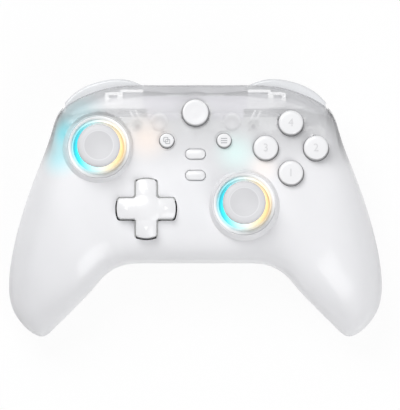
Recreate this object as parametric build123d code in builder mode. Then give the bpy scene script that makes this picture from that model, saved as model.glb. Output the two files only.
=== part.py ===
from build123d import *
import math
import os

# A wireless gamepad with a frosted clear face, lit stick rings, a rocking cross pad,
# four face buttons, bumpers, triggers and two rumble motors, all at real size in millimetres.
# X points to the player's right, Y away from the player, Z up from the table it rests on.

# Driving dimensions
overall_width = 155.0
overall_depth = 105.6
face_height = 44.0
shell_wall = 2.0
button_gap = 0.25
running_gap = 0.05
parting_height = 26.4
board_height = 29.3
board_thick = 1.2
overrun = 6.0

half_width = overall_width / 2
half_depth = overall_depth / 2
board_top = board_height + board_thick

# Places of the controls on the face, as shares of the half width and the half depth
left_stick_shares = (-0.516, 0.447)
right_stick_shares = (0.261, 0.0)
cross_pad_shares = (-0.263, -0.034)
face_cluster_shares = (0.510, 0.441)
home_shares = (0.0, 0.718)
view_shares = (-0.153, 0.500)
menu_shares = (0.153, 0.500)
turbo_shares = (0.0, 0.395)
function_shares = (0.0, 0.228)


def place(shares):
    return (shares[0] * half_width, shares[1] * half_depth)


left_stick = place(left_stick_shares)
right_stick = place(right_stick_shares)
cross_pad = place(cross_pad_shares)
face_cluster = place(face_cluster_shares)
home_place = place(home_shares)
view_place = place(view_shares)
menu_place = place(menu_shares)
turbo_place = place(turbo_shares)
function_place = place(function_shares)

os.makedirs("parts", exist_ok=True)


def save(builder, label):
    builder.part.label = label
    export_step(builder.part, f"parts/{label}.step")


# Outer form of the two shells
# Upright rings run from the middle out to the tip of a grip. Each ring stands on a line from
# the edge near the player to the far edge, and is a squared ellipse between a top and a bottom.
# Plan of each ring: near edge x and y, far edge x and y, shares of half width and half depth.
ring_plan_shares = (
    (0.000, -0.434, 0.000, 0.945),
    (0.232, -0.434, 0.232, 0.945),
    (0.348, -0.438, 0.465, 0.926),
    (0.394, -0.453, 0.613, 0.854),
    (0.432, -0.477, 0.714, 0.763),
    (0.484, -0.530, 0.772, 0.572),
    (0.561, -0.657, 0.861, 0.231),
    (0.632, -0.763, 0.934, -0.080),
    (0.697, -0.856, 0.981, -0.356),
    (0.752, -0.932, 1.000, -0.597),
    (0.794, -0.986, 0.983, -0.769),
    (0.825, -1.000, 0.942, -0.877),
    (0.858, -0.985, 0.903, -0.939),
)
# Heights of each ring: near top, far top, crown, near bottom, far bottom, belly, shares of face height.
ring_height_shares = (
    (0.943, 0.943, 0.057, 0.205, 0.125, 0.178),
    (0.943, 0.943, 0.057, 0.205, 0.125, 0.178),
    (0.939, 0.939, 0.057, 0.205, 0.130, 0.130),
    (0.936, 0.932, 0.057, 0.200, 0.140, 0.090),
    (0.932, 0.923, 0.057, 0.190, 0.150, 0.075),
    (0.923, 0.905, 0.057, 0.170, 0.160, 0.070),
    (0.900, 0.873, 0.055, 0.130, 0.150, 0.068),
    (0.841, 0.809, 0.050, 0.080, 0.110, 0.068),
    (0.750, 0.723, 0.045, 0.045, 0.068, 0.074),
    (0.636, 0.623, 0.041, 0.048, 0.058, 0.070),
    (0.536, 0.532, 0.034, 0.068, 0.073, 0.058),
    (0.450, 0.445, 0.023, 0.114, 0.114, 0.034),
    (0.355, 0.355, 0.007, 0.193, 0.193, 0.011),
)
# Squareness of each ring at its near and far end, where 2 is a plain ellipse.
ring_squareness_shares = (
    (4.4, 8.0),
    (4.4, 8.0),
    (4.4, 8.0),
    (4.2, 7.6),
    (3.9, 6.6),
    (3.5, 4.8),
    (3.1, 3.6),
    (2.8, 3.0),
    (2.6, 2.6),
    (2.4, 2.4),
    (2.2, 2.2),
    (2.1, 2.1),
    (2.0, 2.0),
)
quarter_steps = 4


def squared(value, square):
    value = round(value, 9)
    return math.copysign(abs(value) ** (2 / square), value)


def ring_sketch(index, side, inset):
    near_x, near_y, far_x, far_y = ring_plan_shares[index]
    start = Vector(side * near_x * half_width, near_y * half_depth, 0)
    end = Vector(side * far_x * half_width, far_y * half_depth, 0)
    along = (end - start).normalized()
    length = (end - start).length - 2 * inset
    near_top, far_top, crown, near_low, far_low, belly = (
        share * face_height for share in ring_height_shares[index]
    )
    near_square, far_square = ring_squareness_shares[index]
    outward = Vector(side * along.Y, -side * along.X, 0)
    plane = Plane(origin=start, x_dir=along, z_dir=outward * side)

    def point(turn):
        square = far_square if math.cos(turn) > 0 else near_square
        run = squared(math.cos(turn), square)
        rise = squared(math.sin(turn), square)
        share = (1 + run) / 2
        bulge = 4 * share * (1 - share)
        top = near_top + (far_top - near_top) * share + crown * bulge - inset
        low = near_low + (far_low - near_low) * share - belly * bulge + inset
        return (inset + length * share, (top + low) / 2 + (top - low) / 2 * rise)

    corners = (0, math.pi / 2, math.pi, 3 * math.pi / 2, 2 * math.pi)
    leans = (
        (0, 1),
        (-length, near_top - far_top),
        (0, -1),
        (length, far_low - near_low),
        (0, 1),
    )
    with BuildSketch(plane) as sketch:
        with BuildLine():
            for quarter in range(4):
                turns = [
                    corners[quarter] + (corners[quarter + 1] - corners[quarter]) * step / quarter_steps
                    for step in range(quarter_steps + 1)
                ]
                Spline(*[point(turn) for turn in turns], tangents=leans[quarter : quarter + 2])
        make_face()
    return sketch


def shell_form(inset, rings):
    order = [(index, -1) for index in range(rings - 1, 0, -1)]
    order += [(index, 1) for index in range(rings)]
    sketches = [ring_sketch(index, side, inset) for index, side in order]
    with BuildPart() as form:
        loft(sections=[sketch.sketch.face() for sketch in sketches])
        if inset == 0:
            split(bisect_by=Plane.XY, keep=Keep.TOP)
    return form


outer_form = shell_form(0, len(ring_plan_shares))
inner_form = shell_form(shell_wall, len(ring_plan_shares) - 1)

# Parting line between the shells, level round the body and falling along the grips
parting_bend_share = -0.10
parting_tip_share = 0.43

with BuildPart() as upper_half:
    with BuildSketch(Plane.YZ):
        with BuildLine():
            bend = (parting_bend_share * half_depth, parting_height)
            tip = (-half_depth - overrun, parting_tip_share * parting_height)
            far = (half_depth + overrun, parting_height)
            high = face_height + overrun
            Line(far, bend)
            Spline(bend, tip, tangents=((-1, 0), (-1, -1)))
            Polyline(tip, (tip[0], high), (far[0], high), far)
        make_face()
    extrude(amount=half_width + overrun, both=True)


# Screw columns, moulded in both shells and meeting at the parting line
upper_column_shares = (0.195, 0.655)
grip_column_shares = (0.770, -0.760)
lower_column_shares = (0.0, -0.270)
column_radius = 3.0
screw_shank = 1.25
screw_head = 2.3
screw_head_tall = 1.5
screw_long = 16.0
body_screw_seat = 14.0
grip_screw_seat = 6.0

upper_column = place(upper_column_shares)
grip_column = place(grip_column_shares)
lower_column = place(lower_column_shares)
body_columns = [upper_column, (-upper_column[0], upper_column[1]), lower_column]
grip_columns = [grip_column, (-grip_column[0], grip_column[1])]
column_sets = ((body_columns, body_screw_seat), (grip_columns, grip_screw_seat))

# Posts under the face that the main board is screwed to
post_shares = ((-0.310, 0.625), (0.310, 0.625), (0.400, -0.208), (-0.400, -0.227))
post_places = [place(shares) for shares in post_shares]
board_post_radius = 2.2
board_screw_shank = 0.9
board_screw_head = 1.8
board_screw_head_tall = 1.1
board_screw_long = 6.0

# Stick modules: places shared by the shells, the rings and the sticks themselves
stick_places = {"left": left_stick, "right": right_stick}
pivot_above_board = 5.5
dome_radius = 11.2
dome_wall = 0.8
collar_radius = 12.7
collar_height = 4.0
collar_above_face = 3.2
ring_outer = 11.3
ring_deep = 1.8
ring_below_collar = 0.3
throat_radius = 10.6
skirt_foot_radius = 15.0
skirt_wall = 1.1
ledge_below_face = 3.3
skirt_below_face = 7.5
skirt_foot_below = 1.4
skirt_top_below_collar = 0.7
skirt_lip = 0.5

pivot_height = board_top + pivot_above_board
collar_top = face_height + collar_above_face
collar_seat = collar_top - collar_height
skirt_low = face_height - skirt_below_face
ledge_low = face_height - ledge_below_face
skirt_top = collar_top - skirt_top_below_collar

# Cross pad sizes
cross_span = 24.4
cross_arm = 8.5
cross_above_face = 2.6
cross_deep = 9.2
cross_corner = 1.4
cross_gap = 0.65
dish_radius = 13.6
dish_deep = 0.7

# Button sizes
face_button_radius = 5.2
face_button_pitch = 10.4
face_button_above = 2.4
face_button_crown = 0.9
home_radius = 5.5
home_above = 1.6
small_button_radius = 3.0
small_button_above = 1.3
small_well_radius = 4.2
small_well_deep = 0.5
pill_long = 8.2
pill_wide = 4.0
pill_above = 1.0

# Bumpers, triggers and the rear bridge between them
bridge_half = 21.4
bridge_reach = 3.6
bridge_gap = 0.1
bay_outer = 55.0
bay_near = 36.0
bay_floor = 8.0
bay_roof = 35.8
bumper_top = 35.4
bumper_low = 28.6
trigger_top = 27.6
trigger_width = 26.0
trigger_middle_shares = (0.494, 0.795)
trigger_slant = -14.2
trigger_pivot_height = 22.8
hub_radius = 2.6
pin_radius = 1.0
lug_thick = 1.6
lug_gap = 2.6
lug_half = 3.0
lug_top = 26.0

# Socket in the bridge
socket_wide = 8.94
socket_tall = 3.26
socket_long = 7.3
socket_wall = 0.3
socket_middle = board_top + socket_tall / 2
socket_gap = 0.25

# Rumble motors and battery, seated in the rear shell
motor_shares = (0.790, -0.470)
motor_height = 15.5
motor_radius = 5.5
motor_long = 11.0
cradle_thick = 1.6
cradle_half = 5.0
battery_wide = 42.0
battery_deep = 24.0
battery_tall = 8.0
battery_floor = 6.0
battery_share = 0.265
rail_thick = 1.6
rail_half_share = 0.30
motor_place = place(motor_shares)
motor_places = {"left": (-motor_place[0], motor_place[1]), "right": motor_place}
battery_place = (0, battery_share * half_depth)


def side_plane(spot, height):
    return Plane(origin=(spot[0], spot[1], height), x_dir=(1, 0, 0), z_dir=(0, -1, 0))


def mirrored(builder):
    with BuildPart() as other:
        add(mirror(builder.part, about=Plane.YZ, mode=Mode.PRIVATE))
    return other


# Hollow stock of both shells with its screw columns
with BuildPart() as columns:
    with Locations(body_columns + grip_columns):
        Cylinder(column_radius, face_height, align=(Align.CENTER, Align.CENTER, Align.MIN))
    add(outer_form.part, mode=Mode.INTERSECT)

with BuildPart() as board_posts:
    with BuildSketch(Plane.XY.offset(board_top)):
        with Locations(post_places):
            Circle(board_post_radius)
    extrude(amount=face_height)
    add(outer_form.part, mode=Mode.INTERSECT)

with BuildPart() as shell_stock:
    add(outer_form.part)
    add(inner_form.part, mode=Mode.SUBTRACT)
    add(columns.part)

# Trigger place: a plane at the pivot, turned along the slanted shoulder of the shell
trigger_middle = place(trigger_middle_shares)
trigger_plane = Plane(
    origin=(trigger_middle[0], trigger_middle[1], trigger_pivot_height),
    x_dir=Vector(1, 0, 0).rotate(Axis.Z, trigger_slant),
    z_dir=(0, 0, 1),
)
trigger_side = Plane(trigger_plane.origin, x_dir=trigger_plane.y_dir, z_dir=trigger_plane.x_dir)
lug_middle = trigger_width / 2 + lug_gap + lug_thick / 2
pin_half = lug_middle + lug_thick / 2
lug_run = lug_middle * math.cos(math.radians(trigger_slant))

# Rear bays that the bumpers and triggers move in


def bay_block(inner, outer, low, high):
    with BuildPart() as block:
        with BuildSketch(Plane.XY.offset(low)):
            with BuildLine():
                Polyline(
                    (inner, bay_near),
                    (inner, half_depth + overrun),
                    (outer, half_depth + overrun),
                    (outer, bay_near),
                    close=True,
                )
            make_face()
            mirror(about=Plane.YZ)
        extrude(amount=high - low)
    return block


bumper_bay = bay_block(bridge_half + bridge_gap, bay_outer, parting_height, bay_roof)
trigger_bay = bay_block(
    trigger_middle[0] - lug_run, trigger_middle[0] + lug_run, bay_floor, parting_height + overrun
)

bridge_near = half_depth * ring_plan_shares[0][3] - bridge_reach

# Stick skirt: a low cone round each stick that carries the collar
with BuildPart() as skirts:
    for spot in stick_places.values():
        with BuildSketch(side_plane(spot, 0)):
            with BuildLine():
                Polyline(
                    (0, skirt_low),
                    (skirt_foot_radius, skirt_low),
                    (skirt_foot_radius, face_height - skirt_foot_below),
                    (collar_radius + skirt_lip, skirt_top),
                    (0, skirt_top),
                    close=True,
                )
            make_face()
        revolve(axis=Axis((spot[0], spot[1], 0), (0, 0, 1)))

face_button_places = {
    "top": (face_cluster[0], face_cluster[1] + face_button_pitch),
    "left": (face_cluster[0] - face_button_pitch, face_cluster[1]),
    "right": (face_cluster[0] + face_button_pitch, face_cluster[1]),
    "bottom": (face_cluster[0], face_cluster[1] - face_button_pitch),
}
pill_places = {"turbo": turbo_place, "function": function_place}
small_places = {"view": view_place, "menu": menu_place}


def cross_sketch(span, arm, corner):
    with BuildSketch(mode=Mode.PRIVATE) as cross:
        Rectangle(span, arm)
        Rectangle(arm, span)
        Circle(span / 2, mode=Mode.INTERSECT)
        fillet(cross.vertices(), corner)
    return cross.sketch


# Front shell: the frosted clear face
with BuildPart() as front_shell:
    add(shell_stock.part)
    add(upper_half.part, mode=Mode.INTERSECT)
    add(bumper_bay.part, mode=Mode.SUBTRACT)
    with Locations((0, bridge_near, parting_height)):
        Box(
            2 * (bridge_half + bridge_gap),
            bridge_reach + overrun,
            bay_roof - parting_height,
            align=(Align.CENTER, Align.MIN, Align.MIN),
            mode=Mode.SUBTRACT,
        )
    add(skirts.part)
    add(board_posts.part)
    with BuildSketch(Plane.XY.offset(board_top)):
        with Locations(post_places):
            Circle(board_screw_shank)
    extrude(amount=board_screw_long - board_thick, mode=Mode.SUBTRACT)
    for spot in stick_places.values():
        with BuildSketch(Plane.XY.offset(skirt_low)):
            with Locations(spot):
                Circle(throat_radius)
        extrude(amount=face_height, mode=Mode.SUBTRACT)
        with BuildSketch(Plane.XY.offset(skirt_low)):
            with Locations(spot):
                Circle(skirt_foot_radius - skirt_wall)
        extrude(amount=ledge_low - skirt_low, mode=Mode.SUBTRACT)
        with BuildSketch(Plane.XY.offset(collar_seat)):
            with Locations(spot):
                Circle(collar_radius + running_gap)
        extrude(amount=collar_height, mode=Mode.SUBTRACT)
    with BuildSketch(Plane.XY.offset(board_top)):
        with Locations(cross_pad):
            add(cross_sketch(cross_span + 2 * cross_gap, cross_arm + 2 * cross_gap, cross_corner))
        with Locations(list(face_button_places.values())):
            Circle(face_button_radius + button_gap)
        with Locations(home_place):
            Circle(home_radius + button_gap)
        with Locations(list(small_places.values())):
            Circle(small_button_radius + button_gap)
        with Locations(list(pill_places.values())):
            SlotOverall(pill_long + 2 * button_gap, pill_wide + 2 * button_gap)
    extrude(amount=face_height, mode=Mode.SUBTRACT)
    with BuildSketch(Plane.XY.offset(face_height - small_well_deep)):
        with Locations(list(small_places.values())):
            Circle(small_well_radius)
    extrude(amount=overrun, mode=Mode.SUBTRACT)
    with BuildSketch(side_plane(cross_pad, face_height)):
        with BuildLine():
            TangentArc((0, -dish_deep), (dish_radius, 0), tangent=(1, 0))
            Polyline((dish_radius, 0), (dish_radius, overrun), (0, overrun), (0, -dish_deep))
        make_face()
    revolve(axis=Axis((cross_pad[0], cross_pad[1], 0), (0, 0, 1)), mode=Mode.SUBTRACT)
    for spots, seat in column_sets:
        with BuildSketch(Plane.XY.offset(seat)):
            with Locations(spots):
                Circle(screw_shank)
        extrude(amount=screw_long, mode=Mode.SUBTRACT)
save(front_shell, "front_shell")

# Trigger pins, and the lugs moulded with the rear shell that hold them
with BuildPart() as right_pin:
    with BuildSketch(trigger_side):
        Circle(pin_radius)
    extrude(amount=pin_half, both=True)
with BuildPart() as trigger_pins:
    add(right_pin.part)
    add(mirrored(right_pin).part)
save(trigger_pins, "trigger_pins")

with BuildPart() as lugs:
    with BuildSketch(trigger_plane.offset(lug_top - trigger_pivot_height)):
        with GridLocations(2 * lug_middle, 0, 2, 1):
            Rectangle(lug_thick, 2 * lug_half)
    extrude(amount=-face_height)
    add(outer_form.part, mode=Mode.INTERSECT)
left_lugs = mirrored(lugs)

# Motor cradles and battery rails, moulded with the rear shell
with BuildPart() as seats:
    for spot in motor_places.values():
        with BuildSketch(Plane.XY):
            with Locations(spot):
                with GridLocations(motor_long / 2, 0, 2, 1):
                    Rectangle(cradle_thick, 2 * cradle_half)
        extrude(amount=motor_height)
        with BuildSketch(Plane.YZ.offset(spot[0])):
            with Locations((spot[1], motor_height)):
                Circle(motor_radius)
        extrude(amount=motor_long, both=True, mode=Mode.SUBTRACT)
    with BuildSketch(Plane.XY):
        with Locations(battery_place):
            with GridLocations(2 * rail_half_share * battery_wide, 0, 2, 1):
                Rectangle(rail_thick, battery_deep)
    extrude(amount=battery_floor)
    add(outer_form.part, mode=Mode.INTERSECT)

# Rear shell: belly, grips' undersides, screw recesses and trigger lugs
with BuildPart() as rear_shell:
    add(shell_stock.part)
    add(seats.part)
    add(upper_half.part, mode=Mode.SUBTRACT)
    add(trigger_bay.part, mode=Mode.SUBTRACT)
    add(lugs.part)
    add(left_lugs.part)
    add(trigger_pins.part, mode=Mode.SUBTRACT)
    for spots, seat in column_sets:
        with BuildSketch(Plane.XY):
            with Locations(spots):
                Circle(screw_head + button_gap)
        extrude(amount=seat, mode=Mode.SUBTRACT)
        with BuildSketch(Plane.XY):
            with Locations(spots):
                Circle(screw_shank + running_gap)
        extrude(amount=parting_height + overrun, mode=Mode.SUBTRACT)
save(rear_shell, "rear_shell")

# Bridge between the bumpers, with the socket slot
with BuildPart() as rear_bridge:
    add(outer_form.part)
    add(inner_form.part, mode=Mode.SUBTRACT)
    with Locations((0, bridge_near + bridge_gap, parting_height)):
        Box(
            2 * bridge_half,
            bridge_reach + overrun,
            bay_roof - bridge_gap - parting_height,
            align=(Align.CENTER, Align.MIN, Align.MIN),
            mode=Mode.INTERSECT,
        )
    with BuildSketch(Plane.XZ.offset(-bridge_near)):
        with Locations((0, socket_middle)):
            RectangleRounded(
                socket_wide + 2 * socket_gap,
                socket_tall + 2 * socket_gap,
                socket_tall / 2,
            )
    extrude(amount=-(bridge_reach + overrun), mode=Mode.SUBTRACT)
save(rear_bridge, "rear_bridge")

# Stick modules
housing_radius = 8.2
housing_wall = 0.7
housing_floor = 0.8
housing_tall = 7.6
frame_half = 5.2
frame_wall = 0.9
frame_tall = 3.0
trunnion_radius = 0.8
sleeve_radius = 3.1
sleeve_tall = 5.0
stem_radius = 2.0
stem_below = 2.7
cap_radius = 8.9
cap_tall = 4.8
cap_above_pivot = 16.4
cap_edge = 1.0
cap_dish_radius = 6.15
cap_dish_deep = 0.9
neck_radius = 4.0
neck_foot_radius = 5.6
dome_rim_above = 1.0
cap_low = pivot_height + cap_above_pivot
cap_top = cap_low + cap_tall
stem_top = cap_low + cap_tall / 2


def module_housing(spot):
    # A round cup on the board with a floor and two cross holes for the frame's trunnions
    with BuildPart() as housing:
        with BuildSketch(Plane.XY.offset(board_top)):
            with Locations(spot):
                Circle(housing_radius)
        extrude(amount=housing_tall)
        with BuildSketch(Plane.XY.offset(board_top + housing_floor)):
            with Locations(spot):
                Circle(housing_radius - housing_wall)
        extrude(amount=housing_tall, mode=Mode.SUBTRACT)
        with BuildSketch(Plane.YZ.offset(spot[0])):
            with Locations((spot[1], pivot_height)):
                Circle(trunnion_radius + running_gap)
        extrude(amount=housing_radius + overrun, both=True, mode=Mode.SUBTRACT)
    return housing


def gimbal_frame(spot):
    # A square frame that tilts on trunnions along X and carries the sleeve on pins along Y
    with BuildPart() as frame:
        with BuildSketch(Plane.XY.offset(pivot_height - frame_tall / 2)):
            with Locations(spot):
                Rectangle(2 * frame_half, 2 * frame_half)
                Rectangle(2 * (frame_half - frame_wall), 2 * (frame_half - frame_wall), mode=Mode.SUBTRACT)
        extrude(amount=frame_tall)
        for side in (-1, 1):
            with BuildSketch(Plane.YZ.offset(spot[0] + side * (frame_half - frame_wall / 2))):
                with Locations((spot[1], pivot_height)):
                    Circle(trunnion_radius)
            extrude(amount=side * (housing_radius - frame_half + frame_wall / 2))
        with BuildSketch(side_plane(spot, pivot_height)):
            Circle(trunnion_radius + running_gap)
        extrude(amount=frame_half + overrun, both=True, mode=Mode.SUBTRACT)
    return frame


def pivot_sleeve(spot):
    # A sleeve round the stem, with pins along Y in the frame and a bore that the stem slides in
    with BuildPart() as sleeve:
        with BuildSketch(Plane.XY.offset(pivot_height - sleeve_tall / 2)):
            with Locations(spot):
                Circle(sleeve_radius)
        extrude(amount=sleeve_tall)
        with BuildSketch(side_plane(spot, pivot_height)):
            Circle(trunnion_radius)
        extrude(amount=frame_half, both=True)
        with BuildSketch(Plane.XY.offset(pivot_height - sleeve_tall)):
            with Locations(spot):
                Circle(stem_radius + running_gap)
        extrude(amount=2 * sleeve_tall, mode=Mode.SUBTRACT)
    return sleeve


def stick_stem(spot):
    with BuildPart() as stem:
        with BuildSketch(Plane.XY.offset(pivot_height - stem_below)):
            with Locations(spot):
                Circle(stem_radius)
        extrude(amount=stem_top - pivot_height + stem_below)
    return stem


def stick_cap(spot):
    # The thumb cap: a dished disc on a flared neck, over a thin dome that closes the throat
    outer_rim = math.sqrt(dome_radius**2 - dome_rim_above**2)
    inner_dome = dome_radius - dome_wall
    inner_rim = math.sqrt(inner_dome**2 - dome_rim_above**2)
    dome_turn = math.asin(neck_foot_radius / dome_radius)
    foot_height = dome_radius * math.cos(dome_turn)
    bore_low = math.sqrt(inner_dome**2 - stem_radius**2)
    bore_top = stem_top - pivot_height
    cap_tip = cap_above_pivot + cap_tall

    def dome_point(radius, turn):
        return (radius * math.cos(turn), radius * math.sin(turn))

    with BuildPart() as cap:
        with BuildSketch(side_plane(spot, pivot_height)):
            with BuildLine():
                Line((inner_rim, dome_rim_above), (outer_rim, dome_rim_above))
                ThreePointArc(
                    (outer_rim, dome_rim_above),
                    dome_point(dome_radius, (math.pi / 2 - dome_turn) / 2),
                    (neck_foot_radius, foot_height),
                )
                Polyline(
                    (neck_foot_radius, foot_height),
                    (neck_radius, (foot_height + cap_above_pivot) / 2),
                    (neck_radius, cap_above_pivot),
                    (cap_radius - cap_edge, cap_above_pivot),
                    (cap_radius, cap_above_pivot + cap_edge),
                    (cap_radius, cap_tip - cap_edge),
                    (cap_radius - cap_edge, cap_tip),
                    (cap_dish_radius, cap_tip),
                )
                TangentArc((0, cap_tip - cap_dish_deep), (cap_dish_radius, cap_tip), tangent=(1, 0))
                Polyline(
                    (0, cap_tip - cap_dish_deep),
                    (0, bore_top),
                    (stem_radius, bore_top),
                    (stem_radius, bore_low),
                )
                ThreePointArc(
                    (stem_radius, bore_low),
                    dome_point(inner_dome, math.pi / 4),
                    (inner_rim, dome_rim_above),
                )
            make_face()
        revolve(axis=Axis((spot[0], spot[1], 0), (0, 0, 1)))
    return cap


def collar(spot):
    # The white collar round the throat, with a step for the lit ring
    with BuildPart() as part:
        with BuildSketch(Plane.XY.offset(collar_seat)):
            with Locations(spot):
                Circle(collar_radius)
                Circle(throat_radius, mode=Mode.SUBTRACT)
        extrude(amount=collar_height)
        with BuildSketch(Plane.XY.offset(collar_top - ring_below_collar - ring_deep)):
            with Locations(spot):
                Circle(ring_outer + running_gap)
        extrude(amount=collar_height, mode=Mode.SUBTRACT)
    return part


def light_ring(spot):
    with BuildPart() as ring:
        with BuildSketch(Plane.XY.offset(collar_top - ring_below_collar - ring_deep)):
            with Locations(spot):
                Circle(ring_outer)
                Circle(throat_radius, mode=Mode.SUBTRACT)
        extrude(amount=ring_deep)
    return ring


stick_makers = {
    "stick_collar": collar,
    "light_ring": light_ring,
    "stick_housing": module_housing,
    "gimbal_frame": gimbal_frame,
    "pivot_sleeve": pivot_sleeve,
    "stick_stem": stick_stem,
    "stick_cap": stick_cap,
}
for side, spot in stick_places.items():
    for name, maker in stick_makers.items():
        save(maker(spot), f"{name}_{side}")

# Cross pad: the cross, the ring it rocks in and the post under it
cross_chamfer = 0.5
cross_top = face_height + cross_above_face
cross_low = cross_top - cross_deep
rock_height = face_height - shell_wall
post_radius = 1.4
rock_ring_inner = 1.8
rock_ring_outer = 2.5
rock_ring_tall = 1.4
cross_hollow = 2.9
cross_roof = 1.2

with BuildPart() as cross_cap:
    with BuildSketch(Plane.XY.offset(cross_low)):
        with Locations(cross_pad):
            add(cross_sketch(cross_span, cross_arm, cross_corner))
    extrude(amount=cross_deep)
    chamfer(cross_cap.faces().sort_by(Axis.Z)[-1].edges(), cross_chamfer)
    with BuildSketch(Plane.XY.offset(cross_low)):
        with Locations(cross_pad):
            Circle(cross_hollow)
    extrude(amount=rock_height + cross_roof - cross_low, mode=Mode.SUBTRACT)
save(cross_cap, "cross_pad")

with BuildPart() as rock_ring:
    with BuildSketch(Plane.XY.offset(rock_height - rock_ring_tall / 2)):
        with Locations(cross_pad):
            Circle(rock_ring_outer)
            Circle(rock_ring_inner, mode=Mode.SUBTRACT)
    extrude(amount=rock_ring_tall)
save(rock_ring, "cross_rock_ring")

with BuildPart() as cross_post:
    with BuildSketch(side_plane(cross_pad, 0)):
        with BuildLine():
            Line((0, board_top), (2 * post_radius, board_top))
            Line((2 * post_radius, board_top), (post_radius, board_top + post_radius))
            Line((post_radius, board_top + post_radius), (post_radius, rock_height - rock_ring_tall / 2))
            ThreePointArc(
                (post_radius, rock_height - rock_ring_tall / 2),
                (
                    post_radius * math.cos(math.pi / 4),
                    rock_height - rock_ring_tall / 2 + post_radius * math.sin(math.pi / 4),
                ),
                (0, rock_height - rock_ring_tall / 2 + post_radius),
            )
            Line((0, rock_height - rock_ring_tall / 2 + post_radius), (0, board_top))
        make_face()
    revolve(axis=Axis((cross_pad[0], cross_pad[1], 0), (0, 0, 1)))
save(cross_post, "cross_post")

# Face buttons: domed caps with a wide foot that the shell holds in
face_button_low = 36.6
foot_extra = 0.7
foot_tall = 1.2
face_button_rim = face_height + face_button_above - face_button_crown


def domed_button(spot, radius, low, rim, crown):
    with BuildPart() as button:
        with BuildSketch(side_plane(spot, 0)):
            with BuildLine():
                Polyline(
                    (0, low),
                    (radius + foot_extra, low),
                    (radius + foot_extra, low + foot_tall),
                    (radius, low + foot_tall),
                    (radius, rim),
                )
                Spline(
                    (radius, rim),
                    (radius / 2, rim + crown * 7 / 8),
                    (0, rim + crown),
                    tangents=((-crown, 2 * crown), (-1, 0)),
                )
                Line((0, rim + crown), (0, low))
            make_face()
        revolve(axis=Axis((spot[0], spot[1], 0), (0, 0, 1)))
    return button


for name, spot in face_button_places.items():
    button = domed_button(spot, face_button_radius, face_button_low, face_button_rim, face_button_crown)
    save(button, f"face_button_{name}")

# Home, view and menu buttons and the two pill buttons, with stems over small switches
home_crown = 0.3
small_low = 37.4
small_travel = 0.8
rest_gap = 0.2
switch_side = 4.6
switch_tall = 3.4
plunger_radius = 1.1
plunger_tall = 1.0
press_stem_radius = 1.3
stem_low = board_top + switch_tall + plunger_tall + small_travel + rest_gap


def stemmed(button, spot):
    with BuildPart() as part:
        add(button.part)
        with BuildSketch(Plane.XY.offset(stem_low)):
            with Locations(spot):
                Circle(press_stem_radius)
        extrude(amount=small_low - stem_low)
    return part


home_button = domed_button(
    home_place, home_radius, small_low, face_height + home_above - home_crown, home_crown
)
save(stemmed(home_button, home_place), "home_button")
for name, spot in small_places.items():
    button = domed_button(
        spot,
        small_button_radius,
        small_low,
        face_height + small_button_above - small_well_deep - home_crown,
        home_crown,
    )
    save(stemmed(button, spot), f"{name}_button")
pill_edge = 0.35
for name, spot in pill_places.items():
    with BuildPart() as pill:
        with BuildSketch(Plane.XY.offset(small_low)):
            with Locations(spot):
                SlotOverall(pill_long, pill_wide)
        extrude(amount=face_height + pill_above - small_low)
        chamfer(pill.faces().sort_by(Axis.Z)[-1].edges(), pill_edge)
        with BuildSketch(Plane.XY.offset(small_low)):
            with Locations(spot):
                SlotOverall(pill_long + 2 * foot_extra, pill_wide + 2 * foot_extra)
        extrude(amount=foot_tall)
    save(stemmed(pill, spot), f"{name}_button")

# Main board with its switches and soft key mats
board_half_top = 54.0
board_half_low = 33.5
board_half_tongue = 12.0
board_far = 37.3
board_shoulder_x = 46.0
board_shoulder_y = 32.0
board_step = 9.0
board_near = -16.0
tongue_gap = 1.2
mat_thick = 0.9
mat_margin = 0.8
dome_foot = 3.4
dome_head = 2.6
face_travel = 1.2
cross_dome_reach = 8.6
cross_rock_drop = 0.9

with BuildPart() as main_board:
    with BuildSketch(Plane.XY.offset(board_height)):
        with BuildLine():
            Polyline(
                (0, half_depth * ring_plan_shares[0][3] - shell_wall - tongue_gap),
                (board_half_tongue, half_depth * ring_plan_shares[0][3] - shell_wall - tongue_gap),
                (board_half_tongue, board_far),
                (board_shoulder_x, board_far),
                (board_half_top, board_shoulder_y),
                (board_half_top, board_step),
                (board_half_low, board_step),
                (board_half_low, board_near),
                (0, board_near),
                close=True,
            )
        make_face()
        mirror(about=Plane.YZ)
        with Locations(body_columns):
            Circle(column_radius + button_gap, mode=Mode.SUBTRACT)
        with Locations(post_places):
            Circle(board_screw_shank + running_gap, mode=Mode.SUBTRACT)
    extrude(amount=board_thick)
save(main_board, "main_board")


def key_mat(spots, dome_top, sheet):
    # A soft sheet on the board with one small dome under each key
    with BuildPart() as mat:
        with BuildSketch(Plane.XY.offset(board_top)):
            add(sheet)
        extrude(amount=mat_thick)
        for spot in spots:
            with BuildSketch(side_plane(spot, board_top)):
                with BuildLine():
                    Polyline(
                        (0, 0),
                        (dome_foot, 0),
                        (dome_foot, mat_thick),
                        (dome_head, dome_top - board_top),
                        (0, dome_top - board_top),
                        close=True,
                    )
                make_face()
            revolve(axis=Axis((spot[0], spot[1], 0), (0, 0, 1)))
    return mat


with BuildSketch() as face_sheet:
    with Locations(face_cluster):
        Circle(face_button_pitch)
    with Locations(list(face_button_places.values())):
        Circle(dome_foot + mat_margin)
face_mat = key_mat(
    face_button_places.values(), face_button_low - face_travel - rest_gap, face_sheet.sketch
)
save(face_mat, "face_key_mat")

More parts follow.
